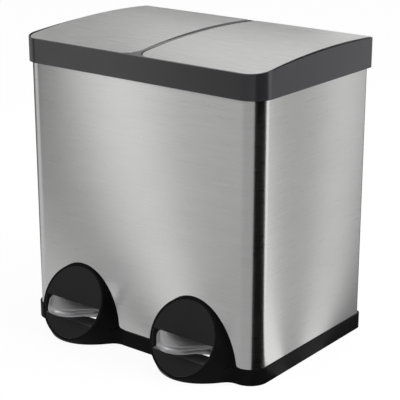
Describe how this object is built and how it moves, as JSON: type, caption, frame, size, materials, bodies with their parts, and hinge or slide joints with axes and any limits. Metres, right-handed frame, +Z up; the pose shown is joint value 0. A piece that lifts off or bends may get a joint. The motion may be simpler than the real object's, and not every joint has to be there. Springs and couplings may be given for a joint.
{
  "type": "double recycling bin",
  "caption": "Rectangular pedal bin in brushed steel with side-by-side arched lids, black frame and base, and half-moon pedals that lift the lids over inner buckets.",
  "frame": {"origin": "on the floor, in the middle of the footprint of the bin with its pedals", "axes": "+X to the right when facing the pedals, +Y towards the back, +Z up"},
  "size_m": [0.4088, 0.3264, 0.4304],
  "materials": {
    "brushed_steel": "fine horizontal brushed grain",
    "pedal_steel": "satin polished",
    "zinc_steel": "bright zinc plated",
    "black_plastic": "satin black moulding",
    "frame_plastic": "satin dark grey moulding",
    "face_plastic": "satin black moulding",
    "bucket_plastic": "matt moulded polypropylene",
    "grip_plastic": "smooth sleeve",
    "rubber": "soft black rubber"
  },
  "bodies": {
    "bin": {"base": "black_plastic", "base_screws": "zinc_steel", "rubber_feet": "rubber", "outer_shell": "brushed_steel", "frame_screws": "zinc_steel", "guide_screws": "zinc_steel", "lid_frame": "frame_plastic", "hinge_rod": "zinc_steel", "lid_bumpers": "rubber", "left_pod_face": "face_plastic", "left_pedal_bracket": "zinc_steel", "left_bracket_screws": "zinc_steel", "left_pedal_pin": "zinc_steel", "left_rod_guide": "black_plastic", "right_pod_face": "face_plastic", "right_pedal_bracket": "zinc_steel", "right_bracket_screws": "zinc_steel", "right_pedal_pin": "zinc_steel", "right_rod_guide": "black_plastic"},
    "left_lid": {"left_lid_skin": "brushed_steel", "left_lid_liner": "black_plastic", "left_lift_arm": "zinc_steel", "left_arm_screws": "zinc_steel"},
    "left_pedal": {"left_pedal_plate": "pedal_steel", "left_pedal_lever": "zinc_steel", "left_pedal_rivets": "zinc_steel"},
    "left_rod": {"left_push_rod": "zinc_steel"},
    "left_bucket_body": {"left_bucket": "bucket_plastic"},
    "left_bail_body": {"left_bail": "zinc_steel", "left_bail_grip": "grip_plastic"},
    "right_lid": {"right_lid_skin": "brushed_steel", "right_lid_liner": "black_plastic", "right_lift_arm": "zinc_steel", "right_arm_screws": "zinc_steel"},
    "right_pedal": {"right_pedal_plate": "pedal_steel", "right_pedal_lever": "zinc_steel", "right_pedal_rivets": "zinc_steel"},
    "right_rod": {"right_push_rod": "zinc_steel"},
    "right_bucket_body": {"right_bucket": "bucket_plastic"},
    "right_bail_body": {"right_bail": "zinc_steel", "right_bail_grip": "grip_plastic"}
  },
  "joints": [
    {"name": "left_lid_hinge", "type": "hinge", "parent": "bin", "child": "left_lid", "pos_m": [-0.1, 0.1528, 0.414], "axis": [-1, 0, 0], "range_deg": [0, 75]},
    {"name": "left_pedal_pivot", "type": "hinge", "parent": "bin", "child": "left_pedal", "pos_m": [-0.1, -0.0682, 0.027], "axis": [1, 0, 0], "range_deg": [0, 7.9]},
    {"name": "left_rod_lift", "type": "slide", "parent": "bin", "child": "left_rod", "axis": [0, 0, 1], "range_m": [0, 0.0282]},
    {"name": "left_bucket_lift", "type": "slide", "parent": "bin", "child": "left_bucket_body", "axis": [0, 0, 1], "range_m": [0, 0.008]},
    {"name": "left_bail_swing", "type": "hinge", "parent": "left_bucket_body", "child": "left_bail_body", "pos_m": [-0.10125, 0.0168, 0.366], "axis": [-1, 0, 0], "range_deg": [0, 12]},
    {"name": "right_lid_hinge", "type": "hinge", "parent": "bin", "child": "right_lid", "pos_m": [0.1, 0.1528, 0.414], "axis": [-1, 0, 0], "range_deg": [0, 75]},
    {"name": "right_pedal_pivot", "type": "hinge", "parent": "bin", "child": "right_pedal", "pos_m": [0.1, -0.0682, 0.027], "axis": [1, 0, 0], "range_deg": [0, 7.9]},
    {"name": "right_rod_lift", "type": "slide", "parent": "bin", "child": "right_rod", "axis": [0, 0, 1], "range_m": [0, 0.0282]},
    {"name": "right_bucket_lift", "type": "slide", "parent": "bin", "child": "right_bucket_body", "axis": [0, 0, 1], "range_m": [0, 0.008]},
    {"name": "right_bail_swing", "type": "hinge", "parent": "right_bucket_body", "child": "right_bail_body", "pos_m": [0.10125, 0.0168, 0.366], "axis": [-1, 0, 0], "range_deg": [0, 12]}
  ],
  "couplings": [
    {"joint": "left_pedal_pivot", "follows": "left_lid_hinge", "ratio": 0.1051},
    {"joint": "left_rod_lift", "follows": "left_lid_hinge", "m_per_rad": 0.02139},
    {"joint": "right_pedal_pivot", "follows": "right_lid_hinge", "ratio": 0.1051},
    {"joint": "right_rod_lift", "follows": "right_lid_hinge", "m_per_rad": 0.02139}
  ]
}
